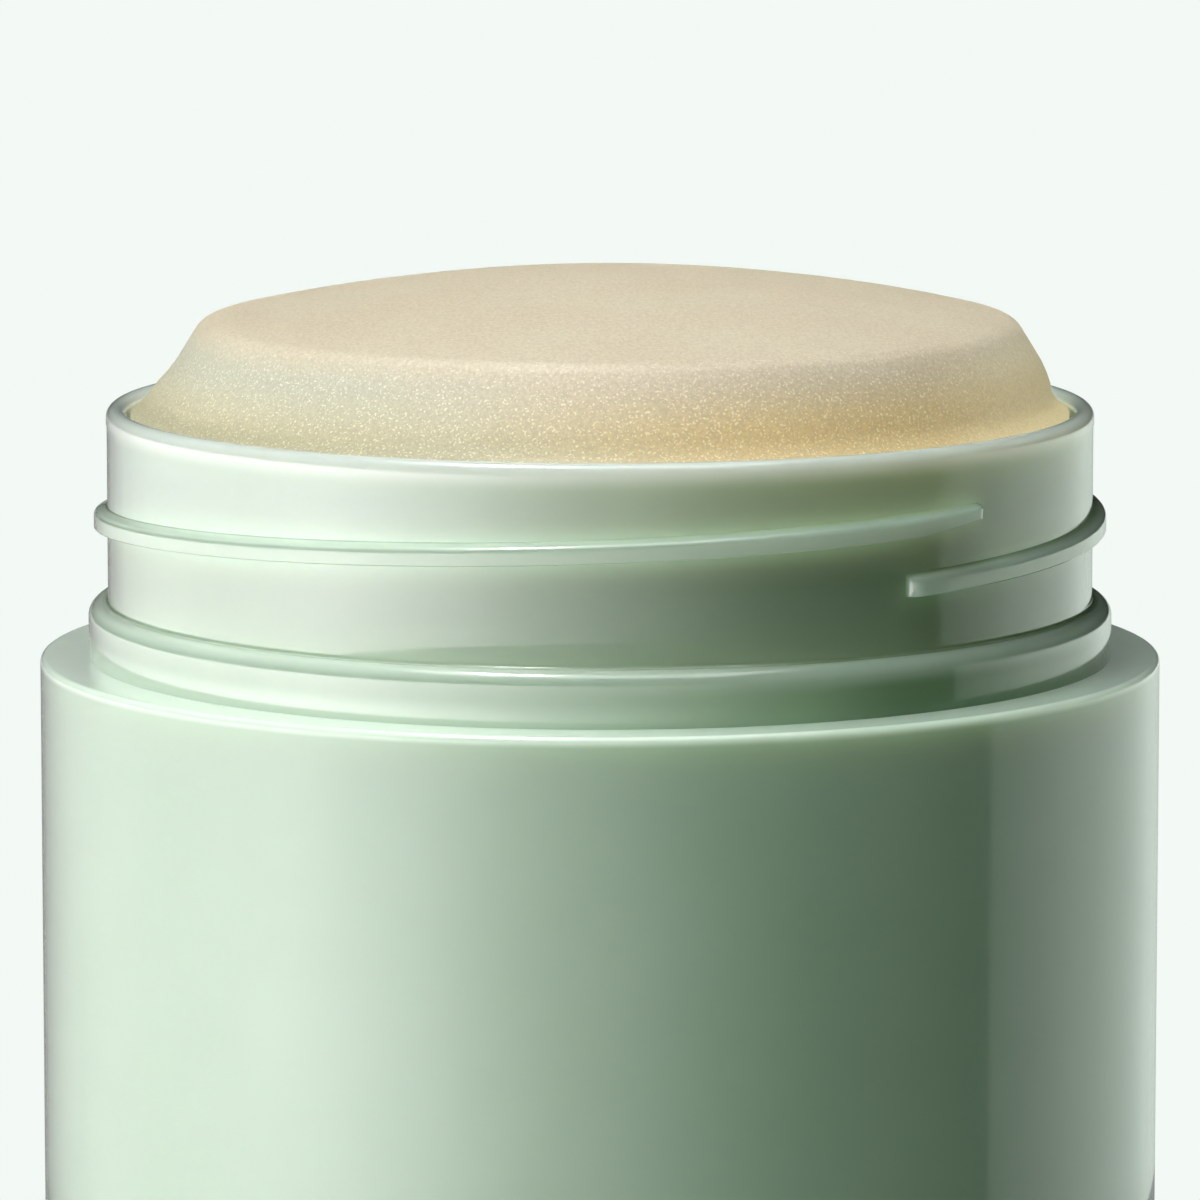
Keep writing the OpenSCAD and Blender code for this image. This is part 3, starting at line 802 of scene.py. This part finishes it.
def waxOutline(s):
    # a dome, its rounded edge, a straight flank, a flare down to the wall, and the inside
    radius = (s["domeRadius"] ** 2 + s["domeRise"] ** 2) / (2 * s["domeRise"])
    edge = s["apex"] - s["domeRise"]
    edgeSlope = math.degrees(math.asin(s["domeRadius"] / radius))
    flank = math.degrees(math.atan2(s["flareRadius"] - s["domeRadius"], edge - s["flareHeight"]))
    setBack = s["domeRound"] * math.tan(math.radians((90 - flank - edgeSlope) / 2))
    domeTurn = edgeSlope - math.degrees(setBack / radius)
    end = math.radians(domeTurn)
    roundX = (radius - s["domeRound"]) * math.sin(end)
    roundZ = s["apex"] - radius * (1 - math.cos(end)) - s["domeRound"] * math.cos(end)
    turns = [end * i / s["domeSteps"] for i in range(s["domeSteps"])]
    dome = [(radius * math.sin(a), s["apex"] - radius * (1 - math.cos(a))) for a in turns]
    edgeArc = arc(roundX, roundZ, s["domeRound"], 90 - domeTurn, flank, s["roundSteps"])
    x, z = edgeArc[-1]
    steps = s["flankSteps"]
    flankLine = [(x + (s["flareRadius"] - x) * i / steps, z + (s["flareHeight"] - z) * i / steps)
                 for i in range(1, steps)]
    outer, lower = s["edgeRadius"], s["edgeHeight"]
    bendX = s["flareRadius"] + s["bendShares"][0] * (outer - s["flareRadius"])
    bendZ = s["flareHeight"] + s["bendShares"][1] * (lower - s["flareHeight"])
    flare = [((1 - u) ** 2 * s["flareRadius"] + 2 * u * (1 - u) * bendX + u * u * outer,
              (1 - u) ** 2 * s["flareHeight"] + 2 * u * (1 - u) * bendZ + u * u * lower)
             for u in [i / s["bendSteps"] for i in range(s["bendSteps"] + 1)]]
    bore, top, chamfer = s["boreRadius"], s["boreTop"], s["boreChamfer"]
    inside = [(outer, s["rimTop"]), (s["plateRadius"], s["rimTop"]),
              (s["plateRadius"], s["plateTop"]), (s["hubRadius"], s["plateTop"]),
              (s["hubRadius"], s["hubTop"]), (bore, s["hubTop"]),
              (bore, top), (bore - chamfer, top + chamfer), (0, top + chamfer)]
    return dome + edgeArc + flankLine + flare + inside


def makeWax():
    s, c = wax, container
    outline = makeOutline("waxOutline", waxOutline(s))
    play = s["groovePlay"]
    groove = makeWeb("guideGroove", s["plateRadius"], c["boreRadius"] + play, s["plateTop"] - play,
                     barrel["guideTop"] + s["grooveEnd"], c["ribWidth"] + play)
    fin = makeWeb("finSlot", s["hubRadius"] - c["overlap"], s["finReach"], s["plateTop"] - play,
                  s["finTop"], c["ribWidth"])
    plug = makeSector("fillPlug", s["windowInner"], s["finReach"],
                      s["plateTop"] - s["windowDepth"], s["plateTop"] + c["overlap"],
                      s["windowArc"])
    b = Build("waxTree", {
        "Outline": "Object", "Segments": "Int", "Groove": "Object", "Grooves": "Int",
        "Fin": "Object", "Fins": "Int", "Plug": "Object", "Lean": "Float",
        "Lean from": "Float", "Pour depth": "Float", "Pour size": "Float",
        "Material": "Material"})
    cast = b.turned(b.given("Outline"), b.given("Segments"))
    # the poured top: a little uneven, and off the axis as it was set down
    where = b.add("GeometryNodeInputPosition")
    x, y, z = b.parts(where)
    noise = b.add("ShaderNodeTexNoise", None, {
        "Vector": where, "Scale": 1 / b.given("Pour size"), "Detail": 1.0})
    leanFrom = b.given("Lean from")
    above = b.ease(z, leanFrom, leanFrom + s["leanOver"] * mm)
    uneven = (noise - s["pourLevel"]) * b.given("Pour depth") * above
    cast = b.moved(cast, b.vector(x + above * b.given("Lean"), y, z + uneven.least(0.0)))
    turn = math.radians(c["guideTurn"])
    grooves = b.ringOf(b.shapeOf(b.given("Groove")), b.given("Grooves"), turn)
    fins = b.ringOf(b.shapeOf(b.given("Fin")), b.given("Fins"), 0.0)
    plugs = b.ringOf(b.shapeOf(b.given("Plug")), b.given("Fins"), turn)
    whole = b.joined(b.cut(cast, [grooves, fins]), [plugs])
    b.close(whole, b.given("Material"), s["crease"])
    bakeTree("waxCast", b, {
        "Outline": outline, "Segments": s["segments"], "Groove": groove,
        "Grooves": barrel["guides"], "Fin": fin, "Fins": s["fins"], "Plug": plug,
        "Lean": s["lean"] * mm, "Lean from": s["leanFrom"] * mm,
        "Pour depth": s["pourDepth"] * mm, "Pour size": s["pourSize"] * mm,
        "Material": creamWax}, "stick", "wax", "wax_stick")


makeSleeve()
makeBarrel()
makeWax()
for guide in guides:
    bpy.data.objects.remove(guide)


# studio

studio = {
    "background": linearLight(243, 249, 245),
    "floorHalf": 3.0,
    "shadowRadius": (0.09, 0.19),
    "floorShade": (0.08, 0.08, 0.08, 1.0),
    "floorInGloss": 0.3,
    "stripRadius": 0.20,
    "stripFrom": 0.004,
    "stripTo": 0.064,
    "stripSteps": 90,
    "stripPeak": 5.79,
    # the first tint lies before tintTurn, the second beyond it
    "stripTints": ((1.02, 0.975, 1.0), (0.93, 1.05, 0.95)),
    "tintTurn": 60,
    # direction from the front towards +X in degrees, and light as a share of the peak
    "stripLight": [(-180, 0.03), (-165, 0.04), (-150, 0.09), (-140, 0.15), (-130, 0.23),
                   (-120, 0.33), (-110, 0.44), (-100, 0.54), (-90, 0.65), (-80, 0.76),
                   (-70, 0.87), (-60, 0.92), (-50, 0.84), (-40, 0.73), (-30, 0.60),
                   (-20, 0.43), (-10, 0.30), (0, 0.22), (10, 0.15), (20, 0.08),
                   (30, 0.035), (42, 0.01), (80.9, 0.0), (81.5, 0.08), (92, 0.125),
                   (105, 0.175), (120, 0.18), (145, 0.17), (160, 0.12), (170, 0.06),
                   (180, 0.03)],
    "topLight": 30.0,
    "topBox": (-0.126, -0.050, -0.12, 0.02, 0.50),
    "overLight": 2.4,
    "overBox": (-0.22, 0.20, -0.28, 0.12, 0.52),
    "ambient": 0.0,
}


def makePanel(name, corners, faces, material):
    mesh = bpy.data.meshes.new(name)
    mesh.from_pydata(corners, [], faces)
    mesh.materials.append(material)
    panel = bpy.data.objects.new(name, mesh)
    scene.collection.objects.link(panel)
    return panel


def makeFloor():
    s = studio
    f = Finish("paleFloor")
    x, y, _ = f.parts(f.place)
    far = f.ease((x * x + y * y).root(), *s["shadowRadius"])
    path = f.add("ShaderNodeLightPath")
    seen = path.out("Is Camera Ray") + path.out("Is Transmission Ray")
    seen = (seen * far + path.out("Is Glossy Ray") * s["floorInGloss"]).least(1.0)
    # the floor looks pale, and sends little light back to the stick
    pale = f.mix(path.out("Is Camera Ray"), s["floorShade"], s["background"])
    shaded = f.add("ShaderNodeBsdfDiffuse", None, {"Color": pale})
    plain = f.add("ShaderNodeEmission", None, {"Color": s["background"], "Strength": 1.0})
    both = f.add("ShaderNodeMixShader", None, {0: seen, 1: shaded, 2: plain})
    f.add("ShaderNodeOutputMaterial", None, {"Surface": both})
    half = s["floorHalf"]
    corners = [(-half, -half, 0), (half, -half, 0), (half, half, 0), (-half, half, 0)]
    makePanel("floor", corners, [(0, 1, 2, 3)], f.material)


def makeStrip(name):
    # a ring of light round the stick, with its own brightness in each direction
    s = studio
    f = Finish(name)
    x, y, _ = f.parts(f.place)
    azimuth = x.calc("ARCTAN2", x, 0 - y)
    stops = [((a + 180) / 360, tuple(v * k for k in s["stripTints"][a > s["tintTurn"]]) + (1,))
             for a, v in s["stripLight"]]
    light = f.add("ShaderNodeValToRGB", {"stops": stops}, {"Fac": azimuth / math.tau + 0.5})
    glow = f.add("ShaderNodeEmission", None, {"Color": light, "Strength": s["stripPeak"]})
    f.add("ShaderNodeOutputMaterial", None, {"Surface": glow})
    steps = s["stripSteps"]
    angles = [i * math.tau / steps for i in range(steps)]
    corners = [(s["stripRadius"] * math.cos(a), s["stripRadius"] * math.sin(a), z)
               for z in (s["stripFrom"], s["stripTo"]) for a in angles]
    faces = [(i + steps, (i + 1) % steps + steps, (i + 1) % steps, i) for i in range(steps)]
    makePanel(name, corners, faces, f.material).visible_camera = False


def makeTopLight(name, strength, box):
    # a flat light that faces down, between two x, two y, at one height
    f = Finish(name)
    glow = f.add("ShaderNodeEmission", None, {"Color": (1, 1, 1, 1), "Strength": strength})
    f.add("ShaderNodeOutputMaterial", None, {"Surface": glow})
    x0, x1, y0, y1, z = box
    corners = [(x0, y0, z), (x0, y1, z), (x1, y1, z), (x1, y0, z)]
    makePanel(name, corners, [(0, 1, 2, 3)], f.material).visible_camera = False


def makeWorld():
    # pale where the camera sees it, and dark to everything else
    s = studio
    world = bpy.data.worlds.new("studioWorld")
    scene.world = world
    world.use_nodes = True
    world.node_tree.nodes.clear()
    b = Bench(world.node_tree)
    path = b.add("ShaderNodeLightPath")
    seen = (path.out("Is Camera Ray") + path.out("Is Transmission Ray")).least(1.0)
    dim = b.add("ShaderNodeBackground", None, {"Color": (1, 1, 1, 1), "Strength": s["ambient"]})
    plain = b.add("ShaderNodeBackground", None, {"Color": s["background"], "Strength": 1.0})
    both = b.add("ShaderNodeMixShader", None, {0: seen, 1: dim, 2: plain})
    b.add("ShaderNodeOutputWorld", None, {"Surface": both})


view = {
    "lens": 255,
    "sensor": 36,
    "place": (0, -0.37644, 0.12364),
    "down": 8.067,
}


def makeCamera():
    lens = bpy.data.cameras.new("camera")
    lens.lens = view["lens"]
    lens.sensor_width = view["sensor"]
    camera = bpy.data.objects.new("camera", lens)
    camera.location = view["place"]
    camera.rotation_euler = (math.radians(90 - view["down"]), 0, 0)
    scene.collection.objects.link(camera)
    scene.camera = camera


makeFloor()
makeStrip("lightStrip")
makeTopLight("topLight", studio["topLight"], studio["topBox"])
makeTopLight("overLight", studio["overLight"], studio["overBox"])
makeWorld()
makeCamera()
print("studio made")
